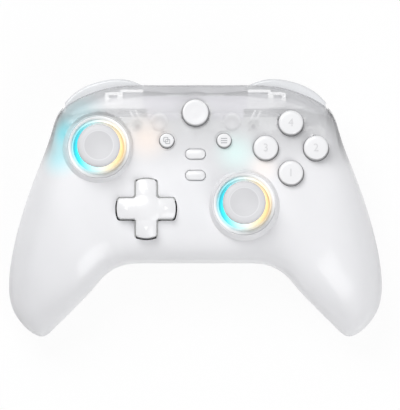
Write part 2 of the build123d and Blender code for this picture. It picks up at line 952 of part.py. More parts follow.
cross_dome_places = [
    (cross_pad[0] + cross_dome_reach * x, cross_pad[1] + cross_dome_reach * y)
    for x, y in ((1, 0), (0, 1), (-1, 0), (0, -1))
]
mat_span = 2 * (cross_dome_reach + dome_foot + mat_margin)
mat_arm = 2 * (dome_foot + mat_margin)
with BuildSketch() as cross_sheet:
    with Locations(cross_pad):
        Rectangle(mat_span, mat_arm)
        Rectangle(mat_arm, mat_span)
        Circle(2 * post_radius + button_gap, mode=Mode.SUBTRACT)
cross_mat = key_mat(cross_dome_places, cross_low - cross_rock_drop - rest_gap, cross_sheet.sketch)
save(cross_mat, "cross_key_mat")

press_places = [home_place, *small_places.values(), *pill_places.values()]
with BuildPart() as press_switches:
    with BuildSketch(Plane.XY.offset(board_top)):
        with Locations(press_places):
            Rectangle(switch_side, switch_side)
    extrude(amount=switch_tall)
    with BuildSketch(Plane.XY.offset(board_top + switch_tall)):
        with Locations(press_places):
            Circle(plunger_radius)
    extrude(amount=plunger_tall)
save(press_switches, "press_switches")

# Side switches that the bumpers press
side_switch_x = 48.0
side_switch_y = 35.1
side_switch_deep = 3.0
side_plunger = 0.6
with BuildPart() as bumper_switches:
    for side in (-1, 1):
        with BuildSketch(Plane.XY.offset(board_top)):
            with Locations((side * side_switch_x, side_switch_y)):
                Rectangle(switch_side, side_switch_deep)
        extrude(amount=switch_tall)
        with BuildSketch(Plane.XZ.offset(-(side_switch_y + side_switch_deep / 2))):
            with Locations((side * side_switch_x, board_top + switch_tall / 2)):
                Circle(plunger_radius)
        extrude(amount=-side_plunger)
save(bumper_switches, "bumper_switches")


def screws(sets, radius, head, head_tall, long):
    with BuildPart() as group:
        for spots, seat in sets:
            with BuildSketch(Plane.XY.offset(seat - head_tall)):
                with Locations(spots):
                    Circle(head)
            extrude(amount=head_tall)
            with BuildSketch(Plane.XY.offset(seat)):
                with Locations(spots):
                    Circle(radius)
            extrude(amount=long)
    return group


save(screws(column_sets, screw_shank, screw_head, screw_head_tall, screw_long), "shell_screws")
board_sets = ((post_places, board_height),)
board_screws = screws(
    board_sets, board_screw_shank, board_screw_head, board_screw_head_tall, board_screw_long
)
save(board_screws, "board_screws")

# Lamp boards under the skirts, each with six small lamps
lamp_board_inner = 12.0
lamp_board_outer = 13.7
lamp_board_thick = 0.8
lamp_side = 1.2
lamp_tall = 0.7
lamp_gap = 0.1
lamp_count = 6
lamp_board_low = ledge_low - lamp_gap - lamp_tall - lamp_board_thick
for side, spot in stick_places.items():
    with BuildPart() as lamp_board:
        with BuildSketch(Plane.XY.offset(lamp_board_low)):
            with Locations(spot):
                Circle(lamp_board_outer)
                Circle(lamp_board_inner, mode=Mode.SUBTRACT)
        extrude(amount=lamp_board_thick)
    save(lamp_board, f"lamp_board_{side}")
with BuildPart() as ring_lamps:
    for spot in stick_places.values():
        with BuildSketch(Plane.XY.offset(lamp_board_low + lamp_board_thick)):
            with Locations(spot):
                with PolarLocations((lamp_board_inner + lamp_board_outer) / 2, lamp_count):
                    Rectangle(lamp_side, lamp_side)
        extrude(amount=lamp_tall)
save(ring_lamps, "ring_lamps")

# Socket on the board's tongue
tongue_thick = 0.7
tongue_wide = 6.6
socket_back = 1.0
socket_face = half_depth * ring_plan_shares[0][3] - bridge_gap
with BuildPart() as usb_socket:
    with BuildSketch(Plane.XZ.offset(-socket_face)):
        with Locations((0, socket_middle)):
            RectangleRounded(socket_wide, socket_tall, socket_tall / 2 - running_gap)
    extrude(amount=socket_long)
    with BuildSketch(Plane.XZ.offset(-socket_face)):
        with Locations((0, socket_middle)):
            RectangleRounded(
                socket_wide - 2 * socket_wall,
                socket_tall - 2 * socket_wall,
                socket_tall / 2 - socket_wall - running_gap,
            )
    extrude(amount=socket_long - socket_back, mode=Mode.SUBTRACT)
    with BuildSketch(Plane.XZ.offset(-(socket_face - socket_back))):
        with Locations((0, socket_middle)):
            Rectangle(tongue_wide, tongue_thick)
    extrude(amount=socket_long - socket_back)
save(usb_socket, "usb_socket")

# Inner frame under the far edge of the face: it carries the bumper pins and the snap loops
frame_low = 36.0
frame_plate = 1.0
frame_plate_half = 20.0
frame_near = 35.6
frame_arm_near = 40.3
frame_points_shares = ((0.258, 0.862), (0.465, 0.825), (0.575, 0.777))
frame_home_gap = 0.8
loop_wide = 7.1
loop_long = 4.2
loop_window = 2.9
loop_tall = 0.6
loop_share = 0.439
bumper_pin_shares = (0.316, 0.830)
bumper_pin = place(bumper_pin_shares)

with BuildPart() as inner_frame:
    with BuildSketch(Plane.XY.offset(frame_low)):
        with BuildLine():
            corners = [place(shares) for shares in frame_points_shares]
            Polyline(
                (0, frame_near),
                (frame_plate_half, frame_near),
                (frame_plate_half, frame_arm_near),
                (corners[-1][0], frame_arm_near),
                *reversed(corners),
                (0, corners[0][1]),
                close=True,
            )
        make_face()
        mirror(about=Plane.YZ)
        with Locations(home_place):
            Circle(home_radius + foot_extra + frame_home_gap, mode=Mode.SUBTRACT)
        with Locations(body_columns):
            Circle(column_radius + running_gap, mode=Mode.SUBTRACT)
    extrude(amount=frame_plate)
    with BuildSketch(Plane.XY.offset(frame_low + frame_plate)):
        for side in (-1, 1):
            with Locations((side * loop_share * half_width, frame_arm_near + loop_long / 2)):
                Rectangle(loop_wide, loop_long)
                Rectangle(loop_window, loop_window, mode=Mode.SUBTRACT)
    extrude(amount=loop_tall)
    with BuildSketch(Plane.XY.offset(bumper_low)):
        with Locations(bumper_pin, (-bumper_pin[0], bumper_pin[1])):
            Circle(pin_radius)
    extrude(amount=frame_low - bumper_low)
save(inner_frame, "inner_frame")

# Bumpers: curved bars under the far edge of the face that turn on upright pins
bumper_outer_shares = (
    (0.283, 0.948),
    (0.334, 0.981),
    (0.395, 1.000),
    (0.490, 0.988),
    (0.605, 0.930),
    (0.699, 0.812),
)
bumper_inner_shares = ((0.690, 0.715), (0.594, 0.740), (0.465, 0.782), (0.283, 0.800))
bumper_round = 1.2


def bumper_sketch(inset):
    outer = [place(shares) for shares in bumper_outer_shares]
    inner = [place(shares) for shares in bumper_inner_shares]
    with BuildSketch(mode=Mode.PRIVATE) as plan:
        with BuildLine():
            Spline(*outer)
            Polyline(outer[-1], *inner, outer[0])
        make_face()
        if inset:
            offset(amount=-inset, mode=Mode.REPLACE)
    return plan.sketch


with BuildPart() as right_bumper:
    with BuildSketch(Plane.XY.offset(bumper_low)):
        add(bumper_sketch(0))
    extrude(amount=bumper_top - bumper_low)
    rims = right_bumper.edges().filter_by(Plane.XY).filter_by(GeomType.LINE, reverse=True)
    fillet(rims, bumper_round)
    with BuildSketch(Plane.XY.offset(bumper_low)):
        with Locations(bumper_pin):
            Circle(pin_radius + running_gap)
    extrude(amount=bumper_top - bumper_low, mode=Mode.SUBTRACT)
save(right_bumper, "bumper_right")
save(mirrored(right_bumper), "bumper_left")

# Triggers: curved finger pads that swing on pins along the slanted shoulders
trigger_reach = 9.0
trigger_rise = trigger_top - trigger_pivot_height
trigger_drop = 11.3
trigger_face_shares = ((0.94, 0.30), (0.97, -0.05), (0.90, -0.50))
trigger_back_shares = ((0.62, -0.60), (0.25, -0.38))
trigger_lip_share = 0.78
trigger_root_share = 0.62
with BuildPart() as right_trigger:
    with BuildSketch(trigger_side):
        with BuildLine():
            face_points = [
                (trigger_reach * y, (trigger_rise if z > 0 else trigger_drop) * z)
                for y, z in trigger_face_shares
            ]
            back_points = [(trigger_reach * y, trigger_drop * z) for y, z in trigger_back_shares]
            crest = (trigger_root_share * trigger_reach, trigger_rise)
            lip = (trigger_reach, -trigger_drop)
            lip_back = (trigger_lip_share * trigger_reach, -trigger_drop)
            Spline(crest, *face_points, lip)
            Line(lip, lip_back)
            Spline(lip_back, *back_points, (0, -hub_radius))
            ThreePointArc((0, -hub_radius), (-hub_radius, 0), (0, hub_radius))
            Line((0, hub_radius), crest)
        make_face()
    extrude(amount=trigger_width / 2, both=True)
    with BuildSketch(Plane.XY):
        add(bumper_sketch(0))
        with BuildLine():
            inner = [place(shares) for shares in bumper_inner_shares]
            Polyline(
                inner[0],
                (inner[0][0], 0),
                (inner[-1][0], 0),
                inner[-1],
                *reversed(inner[1:-1]),
                close=True,
            )
        make_face()
    extrude(amount=face_height, mode=Mode.INTERSECT)
    with BuildSketch(trigger_side):
        Circle(pin_radius + running_gap)
    extrude(amount=trigger_width, both=True, mode=Mode.SUBTRACT)
save(right_trigger, "trigger_right")
save(mirrored(right_trigger), "trigger_left")

# Trigger springs, wound round each pin between the trigger and its outer lug
spring_wire = 0.25
spring_radius = 1.6
spring_pitch = 0.75
spring_turns = 2.5
spring_start = trigger_width / 2 + spring_wire + running_gap
with BuildPart() as right_spring:
    with BuildLine() as coil:
        Helix(
            spring_pitch,
            spring_pitch * spring_turns,
            spring_radius,
            center=trigger_side.offset(spring_start).origin,
            direction=trigger_side.z_dir,
        )
    with BuildSketch(coil.line ^ 0):
        Circle(spring_wire)
    sweep(is_frenet=True)
with BuildPart() as trigger_springs:
    add(right_spring.part)
    add(mirrored(right_spring).part)
save(trigger_springs, "trigger_springs")

# Rumble motors with half-round weights on their shafts
shaft_radius = 0.8
shaft_long = 5.6
weight_radius = 6.0
weight_thick = 4.0
weight_gap = 0.6
weight_hub = 1.7
for side, spot in motor_places.items():
    sign = 1 if spot[0] > 0 else -1
    with BuildPart() as motor:
        with BuildSketch(Plane.YZ.offset(spot[0])):
            with Locations((spot[1], motor_height)):
                Circle(motor_radius)
        extrude(amount=motor_long / 2, both=True)
        chamfer(motor.edges().filter_by(GeomType.CIRCLE), shaft_radius / 2)
        with BuildSketch(Plane.YZ.offset(spot[0] + sign * motor_long / 2)):
            with Locations((spot[1], motor_height)):
                Circle(shaft_radius)
        extrude(amount=sign * shaft_long)
    save(motor, f"rumble_motor_{side}")
    with BuildPart() as weight:
        with BuildSketch(Plane.YZ.offset(spot[0] + sign * (motor_long / 2 + weight_gap))):
            with Locations((spot[1], motor_height)):
                Circle(weight_radius)
            with Locations((spot[1], motor_height + weight_radius)):
                Rectangle(2 * weight_radius, 2 * weight_radius, mode=Mode.SUBTRACT)
            with Locations((spot[1], motor_height)):
                Circle(weight_hub)
                Circle(shaft_radius + running_gap, mode=Mode.SUBTRACT)
        extrude(amount=sign * weight_thick)
    save(weight, f"rumble_weight_{side}")

# Battery on its rails, and its lead to the board
battery_round = 1.2
lead_radius = 0.8
lead_bend = 2.4
lead_run = 4.0
lead_share = 0.22
lead_x = lead_share * battery_wide
battery_far = battery_place[1] + battery_deep / 2
lead_height = battery_floor + battery_tall / 2
with BuildPart() as battery:
    with BuildSketch(Plane.XY.offset(battery_floor)):
        with Locations(battery_place):
            Rectangle(battery_wide, battery_deep)
    extrude(amount=battery_tall)
    fillet(battery.edges().filter_by(Axis.Y), battery_round)
save(battery, "battery")

with BuildPart() as battery_lead:
    with BuildLine() as lead_path:
        FilletPolyline(
            (lead_x, battery_far, lead_height),
            (lead_x, battery_far + lead_run, lead_height),
            (lead_x, battery_far + lead_run, board_height),
            radius=lead_bend,
        )
    with BuildSketch(Plane(lead_path.line @ 0, z_dir=lead_path.line % 0)):
        Circle(lead_radius)
    sweep()
save(battery_lead, "battery_lead")
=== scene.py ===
import math

import bpy
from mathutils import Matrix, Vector
from mathutils.bvhtree import BVHTree


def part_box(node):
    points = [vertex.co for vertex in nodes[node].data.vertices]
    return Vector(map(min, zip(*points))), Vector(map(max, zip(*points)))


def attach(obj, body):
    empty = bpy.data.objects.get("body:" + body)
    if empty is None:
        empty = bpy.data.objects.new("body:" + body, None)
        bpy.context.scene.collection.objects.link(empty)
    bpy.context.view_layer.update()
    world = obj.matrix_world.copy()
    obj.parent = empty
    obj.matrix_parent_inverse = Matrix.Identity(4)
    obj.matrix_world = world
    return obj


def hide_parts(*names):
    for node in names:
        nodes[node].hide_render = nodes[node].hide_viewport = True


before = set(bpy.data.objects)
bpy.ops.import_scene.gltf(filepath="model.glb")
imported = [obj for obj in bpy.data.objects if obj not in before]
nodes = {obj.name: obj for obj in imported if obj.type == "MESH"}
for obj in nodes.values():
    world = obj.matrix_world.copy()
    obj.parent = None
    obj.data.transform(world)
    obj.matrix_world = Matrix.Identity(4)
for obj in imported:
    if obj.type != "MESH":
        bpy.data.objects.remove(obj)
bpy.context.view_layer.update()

# Front shell. The real one is moulded in frosted clear plastic, sprayed white from inside
# on the grips and the lower half, so the works show faintly only round the upper edge.
FACE = 0.044
LEFT_STICK = (-0.03999, 0.0236)
RIGHT_STICK = (0.0202275, 0.0)
SCREW_COLUMN = (0.01511, 0.03458)
SHELL_WHITE = (0.83, 0.83, 0.845)
RIM_SHADE = (0.30, 0.30, 0.31)
CYAN_TINT = (0.30, 0.82, 0.90)
PEACH_TINT = (0.96, 0.82, 0.72)
MINT_TINT = (0.66, 0.92, 0.88)
HALF_WIDTH = 0.0775
HALF_DEPTH = 0.0528
# Upright rings of the outer form, from the middle to the tip of a grip: near and far edge in
# plan; near top, far top, crown, near low, far low, belly; squareness near and far.
RINGS = (
    (0.000, -0.434, 0.000, 0.945, 0.943, 0.943, 0.057, 0.205, 0.125, 0.178, 4.4, 8.0),
    (0.232, -0.434, 0.232, 0.945, 0.943, 0.943, 0.057, 0.205, 0.125, 0.178, 4.4, 8.0),
    (0.348, -0.438, 0.465, 0.926, 0.939, 0.939, 0.057, 0.205, 0.130, 0.130, 4.4, 8.0),
    (0.394, -0.453, 0.613, 0.854, 0.936, 0.932, 0.057, 0.200, 0.140, 0.090, 4.2, 7.6),
    (0.432, -0.477, 0.714, 0.763, 0.932, 0.923, 0.057, 0.190, 0.150, 0.075, 3.9, 6.6),
    (0.484, -0.530, 0.772, 0.572, 0.923, 0.905, 0.057, 0.170, 0.160, 0.070, 3.5, 4.8),
    (0.561, -0.657, 0.861, 0.231, 0.900, 0.873, 0.055, 0.130, 0.150, 0.068, 3.1, 3.6),
    (0.632, -0.763, 0.934, -0.080, 0.841, 0.809, 0.050, 0.080, 0.110, 0.068, 2.8, 3.0),
    (0.697, -0.856, 0.981, -0.356, 0.750, 0.723, 0.045, 0.045, 0.068, 0.074, 2.6, 2.6),
    (0.752, -0.932, 1.000, -0.597, 0.636, 0.623, 0.041, 0.048, 0.058, 0.070, 2.4, 2.4),
    (0.794, -0.986, 0.983, -0.769, 0.536, 0.532, 0.034, 0.068, 0.073, 0.058, 2.2, 2.2),
    (0.825, -1.000, 0.942, -0.877, 0.450, 0.445, 0.023, 0.114, 0.114, 0.034, 2.1, 2.1),
    (0.858, -0.985, 0.903, -0.939, 0.355, 0.355, 0.007, 0.193, 0.193, 0.011, 2.0, 2.0),
)
TIP = len(RINGS) - 1
RING_STEPS = 12
TURN_STEPS = 160
COLUMNS = 2 * TIP * RING_STEPS
NEAREST = 0.00001
WELD = 0.000002
# A face is outer skin where it lies this close to the smooth form and looks its way.
SKIN_DEPTH = 0.0007
SKIN_FACING = 0.6
# A face is on the skirt of a stick between two radii, where it looks up, leans, and leans out.
SKIRT_INNER = 0.0128
SKIRT_OUTER = 0.019
SKIRT_RISE = 0.1
SKIRT_LEAN = 0.15
SKIRT_AIM = 0.9
SLOPE_SLACK = 0.35
# Moulded grain: scale of the mottle, spread of the gloss to both sides, strength of the bump.
MOTTLE_SCALE = 70
GLOSS_SPREAD = 0.04
GRAIN_STRENGTH = 0.25
# Lamp light caught in the face: centre, reach, tint and amount of each patch.
PATCHES = (
    ((-0.0545, 0.0300, 0.0400), 0.0100, CYAN_TINT, 0.95),
    ((-0.0480, 0.0380, 0.0400), 0.0130, CYAN_TINT, 0.40),
    ((-0.0560, 0.0200, 0.0400), 0.0110, CYAN_TINT, 0.60),
    ((-0.0200, 0.0280, 0.0415), 0.0130, PEACH_TINT, 0.65),
    ((0.0165, 0.0215, 0.0415), 0.0120, MINT_TINT, 0.60),
    ((0.0280, 0.0155, 0.0415), 0.0090, PEACH_TINT, 0.40),
)
PATCH_GLOW = 0.24
# The face turns clear between two depths, but stays milky round the screw columns.
CLEAR_START = 0.012
CLEAR_END = 0.040
CLEAR_MOST = 0.64
COLUMN_EDGE = 0.0038
COLUMN_WALL = 0.0028
COLUMN_CLEAR = 0.45
# The turned-down edge of the face has painted shade: dark below a height, toward its far side.
RIM_TOP = 0.0376
RIM_FULL = 0.0366
RIM_START = 0.018
RIM_END = 0.030
RIM_MOST = 0.6


def deselect():
    if bpy.context.object and bpy.context.object.mode != "OBJECT":
        bpy.ops.object.mode_set(mode="OBJECT")
    bpy.ops.object.select_all(action="DESELECT")


def take(piece):
    deselect()
    piece.select_set(True)
    bpy.context.view_layer.objects.active = piece


def dress(piece, material):
    piece.data.materials.clear()
    piece.data.materials.append(material)


def ring_row(place):
    """The ring at a place between the two tips, eased between its neighbours."""
    rows = []
    start = min(max(int(math.floor(place)), -TIP), TIP - 1)
    for index in range(start - 1, start + 3):
        index = min(max(index, -TIP), TIP)
        row = list(RINGS[abs(index)])
        if index < 0:
            row[0], row[2] = -row[0], -row[2]
        rows.append(row)
    t = place - start
    a, b, c, d = rows
    return [
        q + 0.5 * t * (r - p + t * (2 * p - 5 * q + 4 * r - w + t * (3 * (q - r) + w - p)))
        for p, q, r, w in zip(a, b, c, d)
    ]


def ring_point(row, turn):
    """The point of a ring at one turn about it, in metres."""
    near_x, near_y, far_x, far_y, *heights, near_sq, far_sq = row
    near_top, far_top, crown, near_low, far_low, belly = heights
    run, rise = math.cos(turn), math.sin(turn)
    square = far_sq if run > 0 else near_sq
    run = math.copysign(abs(run) ** (2 / square), run)
    rise = math.copysign(abs(rise) ** (2 / square), rise)
    share = (1 + run) / 2
    bulge = 4 * share * (1 - share)
    top = near_top + (far_top - near_top) * share + crown * bulge
    low = near_low + (far_low - near_low) * share - belly * bulge
    return Vector((
        (near_x + (far_x - near_x) * share) * HALF_WIDTH,
        (near_y + (far_y - near_y) * share) * HALF_DEPTH,
        ((top + low) / 2 + (top - low) / 2 * rise) * FACE,
    ))


rows = [ring_row(column / RING_STEPS - TIP) for column in range(COLUMNS + 1)]
turns = [2 * math.pi * (step + 0.5) / TURN_STEPS for step in range(TURN_STEPS)]
form_points = [ring_point(row, turn) for row in rows for turn in turns]
form_faces = [
    (
        column * TURN_STEPS + step,
        (column + 1) * TURN_STEPS + step,
        (column + 1) * TURN_STEPS + (step + 1) % TURN_STEPS,
        column * TURN_STEPS + (step + 1) % TURN_STEPS,
    )
    for column in range(COLUMNS)
    for step in range(TURN_STEPS)
]
form_normals = [Vector() for _ in form_points]
for face in form_faces:
    a, b, c, d = (form_points[index] for index in face)
    facing = (c - a).cross(d - b)
    for index in face:
        form_normals[index] += facing
form = BVHTree.FromPolygons(form_points, form_faces)


def form_normal(spot):
    """The outward direction of the smooth outer form next to a spot, and how far off it is."""
    near, _, index, off = form.find_nearest(spot)
    total = Vector()
    for corner in form_faces[index]:
        weight = (form_points[corner] - near).length + NEAREST
        total += form_normals[corner].normalized() / weight
    return total.normalized(), off


def skirt_of(face):
    """The stick axis of the skirt that a face is on, and how far the face leans; or nothing."""
    level = Vector((face.normal.x, face.normal.y, 0))
    if face.normal.z <= SKIRT_RISE or level.length <= SKIRT_LEAN:
        return None
    for axis in (LEFT_STICK, RIGHT_STICK):
        way = Vector((face.center.x - axis[0], face.center.y - axis[1], 0))
        leans_out = level.dot(way) > SKIRT_AIM * level.length * way.length
        if SKIRT_INNER < way.length < SKIRT_OUTER and leans_out:
            return axis, level.length
    return None


def follow_form(piece):
    """Shades the outer skin as the smooth form and the skirts as cones, over thin slivers."""
    mesh = piece.data
    shading = [Vector(corner.vector) for corner in mesh.corner_normals]
    at_vertex = {}
    skirts = []
    for face in mesh.polygons:
        direction, off = form_normal(face.center)
        facing = face.normal.dot(direction)
        if off > SKIN_DEPTH or abs(facing) < SKIN_FACING:
            found = skirt_of(face)
            if found:
                skirts.append((face, *found))
            continue
        for corner in face.loop_indices:
            vertex = mesh.loops[corner].vertex_index
            if vertex not in at_vertex:
                at_vertex[vertex] = form_normal(mesh.vertices[vertex].co)[0]
            shading[corner] = at_vertex[vertex] * (1 if facing > 0 else -1)
    if skirts:
        slope = math.atan2(
            sum(face.area * lean for face, _, lean in skirts),
            sum(face.area * face.normal.z for face, _, _ in skirts),
        )
        for face, axis, lean in skirts:
            if abs(math.asin(min(lean, 1)) - slope) > SLOPE_SLACK:
                continue
            for corner in face.loop_indices:
                spot = mesh.vertices[mesh.loops[corner].vertex_index].co
                way = Vector((spot.x - axis[0], spot.y - axis[1], 0)).normalized()
                shading[corner] = way * math.sin(slope) + Vector((0, 0, math.cos(slope)))
    mesh.normals_split_custom_set(shading)


def smoothed(node, name, body, material, angle=32):
    """A welded, softly shaded copy that stands for the solid of the same shape."""
    take(nodes[node])
    bpy.ops.object.duplicate()
    piece = bpy.context.object
    piece.name = name
    bpy.ops.object.mode_set(mode="EDIT")
    bpy.ops.mesh.select_all(action="SELECT")
    bpy.ops.mesh.remove_doubles(threshold=WELD)
    bpy.ops.object.mode_set(mode="OBJECT")
    bpy.ops.object.shade_smooth_by_angle(angle=math.radians(angle))
    dress(piece, material)
    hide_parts(node)
    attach(piece, body)
    return piece


def feed(tree, value, entry):
    """Links an output to the input of a node, or sets the input to a plain value."""
    if isinstance(value, bpy.types.NodeSocket):
        tree.links.new(value, entry)
    else:
        entry.default_value = value


def object_place(tree):
    return tree.nodes.new("ShaderNodeTexCoord").outputs["Object"]


def place_parts(tree, place):
    """The x, y and z of a place."""
    parts = tree.nodes.new("ShaderNodeSeparateXYZ")
    feed(tree, place, parts.inputs["Vector"])
    return parts.outputs


def mapped(tree, value, low, high, first=0.0, last=1.0, kind="LINEAR"):
    """A value brought from one range to another, and held inside it."""
    scale = tree.nodes.new("ShaderNodeMapRange")
    scale.interpolation_type = kind
    feed(tree, value, scale.inputs["Value"])
    feed(tree, low, scale.inputs["From Min"])
    feed(tree, high, scale.inputs["From Max"])
    feed(tree, first, scale.inputs["To Min"])
    feed(tree, last, scale.inputs["To Max"])
    return scale.outputs["Result"]


def product(tree, first, second):
    times = tree.nodes.new("ShaderNodeMath")
    times.operation = "MULTIPLY"
    feed(tree, first, times.inputs[0])
    feed(tree, second, times.inputs[1])
    return times.outputs["Value"]


def distance_from(tree, place, centre):
    away = tree.nodes.new("ShaderNodeVectorMath")
    away.operation = "DISTANCE"
    feed(tree, place, away.inputs[0])
    feed(tree, centre, away.inputs[1])
    return away.outputs["Value"]


def distance_in_plan(tree, place, x, y):
    """How far a place is from an upright axis."""
    flat = tree.nodes.new("ShaderNodeVectorMath")
    flat.operation = "MULTIPLY"
    feed(tree, place, flat.inputs[0])
    feed(tree, (1, 1, 0), flat.inputs[1])
    return distance_from(tree, flat.outputs["Vector"], (x, y, 0))


def noise(tree, place, scale, detail):
    cloud = tree.nodes.new("ShaderNodeTexNoise")
    feed(tree, place, cloud.inputs["Vector"])
    feed(tree, scale, cloud.inputs["Scale"])
    feed(tree, detail, cloud.inputs["Detail"])
    return cloud.outputs["Fac"]


def colour_ramp(tree, value, first, last, *between):
    """A ramp of colours, read at a value. A stop is a position and a colour."""
    ramp = tree.nodes.new("ShaderNodeValToRGB")
    stops = ramp.color_ramp.elements
    for index, (spot, colour) in enumerate((first, last)):
        stops[index].position = spot
        stops[index].color = (*colour, 1)
    for spot, colour in between:
        stops.new(spot).color = (*colour, 1)
    feed(tree, value, ramp.inputs["Fac"])
    return ramp.outputs["Color"]


def tint_base(material, share, colour, kind="MIX"):
    """Mixes a share of a colour into the base colour of a material."""
    tree = material.node_tree
    base = tree.nodes["Principled BSDF"].inputs["Base Color"]
    mix = tree.nodes.new("ShaderNodeMix")
    mix.data_type = "RGBA"
    mix.blend_type = kind
    feed(tree, share, mix.inputs["Factor"])
    feed(tree, base.links[0].from_socket, mix.inputs["A"])
    feed(tree, colour, mix.inputs["B"])
    feed(tree, mix.outputs["Result"], base)


def blend_surface(tree, share, first, second, output="Material Output"):
    """Sends a blend of two shaders to the output."""
    blend = tree.nodes.new("ShaderNodeMixShader")
    feed(tree, share, blend.inputs["Fac"])
    feed(tree, first, blend.inputs[1])
    feed(tree, second, blend.inputs[2])
    feed(tree, blend.outputs["Shader"], tree.nodes[output].inputs["Surface"])


def moulded(name, colour, roughness, mottle=0.015, grain=2600, lift=0.00002, coat=0.0, sheen=0.0):
    """Moulded plastic or rubber: a faint mottle in the colour and a fine grain in the gloss."""
    material = bpy.data.materials.new(name)
    material.use_nodes = True
    tree = material.node_tree
    entries = tree.nodes["Principled BSDF"].inputs
    place = object_place(tree)
    cloud = noise(tree, place, MOTTLE_SCALE, 3)
    fine = noise(tree, place, grain, 2)
    deep = [c * (1 - mottle) for c in colour]
    pale = [min(1, c * (1 + mottle)) for c in colour]
    bump = tree.nodes.new("ShaderNodeBump")
    feed(tree, GRAIN_STRENGTH, bump.inputs["Strength"])
    feed(tree, lift, bump.inputs["Distance"])
    feed(tree, fine, bump.inputs["Height"])
    gloss = mapped(tree, fine, 0, 1, roughness - GLOSS_SPREAD, roughness + GLOSS_SPREAD)
    feed(tree, colour_ramp(tree, cloud, (0.3, deep), (0.7, pale)), entries["Base Color"])
    feed(tree, gloss, entries["Roughness"])
    feed(tree, bump.outputs["Normal"], entries["Normal"])
    feed(tree, coat, entries["Coat Weight"])
    feed(tree, sheen, entries["Sheen Weight"])
    return material


def lit_patch(material, centre, reach, tint, amount):
    """Lamp light caught in the plastic: a soft round patch of colour about one point."""
    tree = material.node_tree
    away = distance_from(tree, object_place(tree), centre)
    mask = mapped(tree, away, reach, 0, 0, amount, "SMOOTHSTEP")
    tint_base(material, mask, (*tint, 1))
    return mask


frosted = moulded("frosted_clear_face", SHELL_WHITE, 0.34, mottle=0.01, coat=0.25, sheen=0.15)
tree = frosted.node_tree
shader = tree.nodes["Principled BSDF"]
glow = 0.0
for centre, reach, tint, amount in PATCHES:
    total = tree.nodes.new("ShaderNodeMath")
    total.operation = "MULTIPLY_ADD"
    feed(tree, lit_patch(frosted, centre, reach, tint, amount), total.inputs[0])
    feed(tree, PATCH_GLOW, total.inputs[1])
    feed(tree, glow, total.inputs[2])
    glow = total.outputs["Value"]
feed(tree, glow, shader.inputs["Emission Strength"])
feed(tree, shader.inputs["Base Color"].links[0].from_socket, shader.inputs["Emission Color"])
place = object_place(tree)
parts = place_parts(tree, place)
# Painted shade on the turned-down edge of the face, below a height and toward its far side.
below = mapped(tree, parts["Z"], RIM_TOP, RIM_FULL)
beyond = mapped(tree, parts["Y"], RIM_START, RIM_END, 0, RIM_MOST)
tint_base(frosted, product(tree, below, beyond), (*RIM_SHADE, 1))
aside = tree.nodes.new("ShaderNodeVectorMath")
aside.operation = "ABSOLUTE"
feed(tree, place, aside.inputs[0])
from_column = distance_in_plan(tree, aside.outputs["Vector"], *SCREW_COLUMN)
milky = mapped(tree, from_column, COLUMN_EDGE, COLUMN_WALL, 1, COLUMN_CLEAR)
clear = mapped(tree, parts["Y"], CLEAR_START, CLEAR_END, 0, CLEAR_MOST, "SMOOTHSTEP")
through = tree.nodes.new("ShaderNodeBsdfTransparent")
clearness = product(tree, clear, milky)
blend_surface(tree, clearness, shader.outputs["BSDF"], through.outputs["BSDF"])
front = smoothed("front_shell", "frosted_front_shell", "body", frosted)
follow_form(front)

# Rear shell and the bridge between the bumpers. The rear shell is white plastic with a fine
# satin grain, screwed to the front shell from below; the bridge is the same, a little glossier.
REAR_WHITE = (0.80, 0.80, 0.815)
satin_white = moulded("satin_white_plastic", REAR_WHITE, 0.46, sheen=0.1)
rear = smoothed("rear_shell", "satin_rear_shell", "body", satin_white)
follow_form(rear)
bridge_grey = moulded("bridge_cloudy_grey", REAR_WHITE, 0.4, coat=0.2)
bridge = smoothed("rear_bridge", "cloudy_rear_bridge", "body", bridge_grey)
follow_form(bridge)

# Stick collars and lit rings. Each collar is a white moulded ring pressed into the skirt of the
# face; the milky ring on its step sits over six coloured lamps, whose light runs from blue on
# the left through white to amber on the right, and fills the throat.
THROAT = 0.0098
RING_EDGE = 0.0119
RING_TOP = 0.0490
LIGHT_FADE = 0.0004


def ring_light(material, x, y, top, glow):
    """Lamp light on a piece of the stick: full in the throat below a height, then fading."""
    tree = material.node_tree
    shader = tree.nodes["Principled BSDF"]
    centre = tree.nodes.new("ShaderNodeMapping")
    feed(tree, object_place(tree), centre.inputs["Vector"])
    feed(tree, (-x, -y, 0), centre.inputs["Location"])
    parts = place_parts(tree, centre.outputs["Vector"])
    colours = colour_ramp(
        tree,
        mapped(tree, parts["X"], -RING_EDGE, RING_EDGE),
        (0, (0.03, 0.66, 0.78)),
        (1, (0.96, 0.68, 0.32)),
        (0.16, (0.08, 0.76, 0.84)),
        (0.40, (0.68, 0.90, 0.92)),
        (0.60, (0.90, 0.88, 0.80)),
        (0.84, (0.97, 0.80, 0.50)),
    )
    away = distance_in_plan(tree, centre.outputs["Vector"], 0, 0)
    radial = mapped(tree, away, RING_EDGE, THROAT)
    below = mapped(tree, parts["Z"], top + LIGHT_FADE, top - LIGHT_FADE)
    share = product(tree, radial, below)
    tint_base(material, share, colours)
    feed(tree, colours, shader.inputs["Emission Color"])
    feed(tree, product(tree, share, glow), shader.inputs["Emission Strength"])


for side, (x, y) in (("left", LEFT_STICK), ("right", RIGHT_STICK)):
    collar_white = moulded(f"collar_white_{side}", (0.93, 0.93, 0.935), 0.38)
    ring_light(collar_white, x, y, RING_TOP, 0.4)
    collar = smoothed(f"stick_collar_{side}", f"white_collar_{side}", "body", collar_white)
    lit = moulded(f"lit_ring_{side}", (0.80, 0.80, 0.80), 0.4)
    ring_light(lit, x, y, RING_TOP, 0.5)
    ring = smoothed(f"light_ring_{side}", f"lit_ring_{side}", "body", lit)

# Thumb sticks. The cap is pale grey moulded plastic with a dished top and a soft grain; the
# thin dome under it closes the throat and catches the light of the ring.
DOME_TOP = 0.0510
CAP_REACH = 0.01
CAP_GREY = (0.68, 0.68, 0.695)


